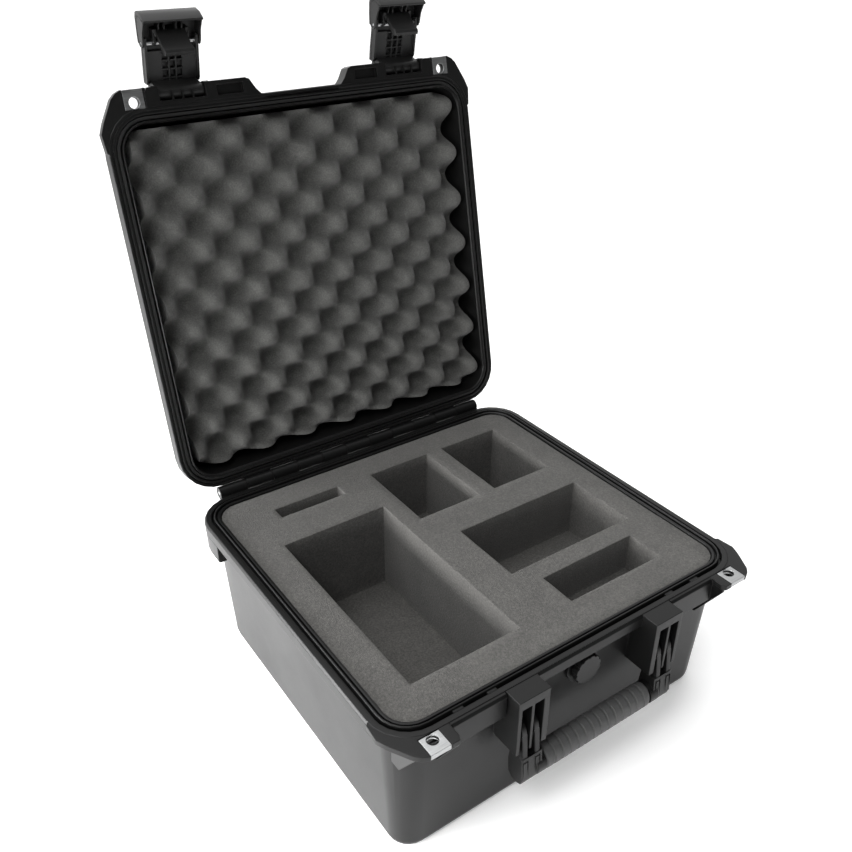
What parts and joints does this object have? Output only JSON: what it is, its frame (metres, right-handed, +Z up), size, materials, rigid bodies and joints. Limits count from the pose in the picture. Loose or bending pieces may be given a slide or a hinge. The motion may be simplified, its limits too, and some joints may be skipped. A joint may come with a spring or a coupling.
{
  "type": "drone carrying case",
  "caption": "Hinged moulded carrying case with a foam-lined lid, cut foam pockets, swing latches, sprung release buttons and a folding carry handle.",
  "frame": {"origin": "centre of the case's flat bottom face", "axes": "+X to the case's right seen from its front, -Y out of the front with the handle, +Z up"},
  "size_m": [0.3956, 0.5151, 0.5922],
  "materials": {
    "moulded_black": "satin",
    "cut_foam": "matte",
    "lid_foam": "matte",
    "rubber": "matte",
    "soft_grip": "matte",
    "steel": "satin"
  },
  "bodies": {
    "base": {"base_shell": "moulded_black", "base_foam_pad": "cut_foam", "base_foam_insert": "cut_foam", "hinge_pin": "steel", "valve_cap": "moulded_black", "valve_seal": "rubber", "valve_nut": "moulded_black", "hasp_plate_base_left": "steel", "hasp_plate_base_right": "steel", "handle_pin_left": "steel", "handle_pin_right": "steel"},
    "lid": {"lid_shell": "moulded_black", "lid_gasket": "rubber", "lid_foam": "lid_foam", "hasp_plate_lid_left": "steel", "hasp_plate_lid_right": "steel", "latch_pin_left": "steel", "latch_pin_right": "steel"},
    "handle": {"handle_frame": "moulded_black", "handle_grip": "soft_grip"},
    "latch_left": {"latch_body_left": "moulded_black", "button_pin_left": "steel", "button_spring_left": "steel"},
    "button_left": {"latch_button_left": "moulded_black"},
    "latch_right": {"latch_body_right": "moulded_black", "button_pin_right": "steel", "button_spring_right": "steel"},
    "button_right": {"latch_button_right": "moulded_black"}
  },
  "joints": [
    {"name": "lid_hinge", "type": "hinge", "parent": "base", "child": "lid", "pos_m": [0, 0.1894, 0.1532], "axis": [1, 0, 0], "range_deg": [0, 101.8]},
    {"name": "handle_hinge", "type": "hinge", "parent": "base", "child": "handle", "pos_m": [0, -0.185, 0.112], "axis": [-1, 0, 0], "range_deg": [0, 100]},
    {"name": "latch_hinge_left", "type": "hinge", "parent": "lid", "child": "latch_left", "pos_m": [-0.1185, 0.27601, 0.52474], "axis": [1, 0, 0], "range_deg": [-12, 68]},
    {"name": "button_hinge_left", "type": "hinge", "parent": "latch_left", "child": "button_left", "pos_m": [-0.1185, 0.28172, 0.56641], "axis": [-1, 0, 0], "range_deg": [0, 10], "stiffness_Nm_per_rad": 0.05, "springref_deg": -20.05},
    {"name": "latch_hinge_right", "type": "hinge", "parent": "lid", "child": "latch_right", "pos_m": [0.1185, 0.27601, 0.52474], "axis": [1, 0, 0], "range_deg": [-12, 68]},
    {"name": "button_hinge_right", "type": "hinge", "parent": "latch_right", "child": "button_right", "pos_m": [0.1185, 0.28172, 0.56641], "axis": [-1, 0, 0], "range_deg": [0, 10], "stiffness_Nm_per_rad": 0.05, "springref_deg": -20.05}
  ]
}
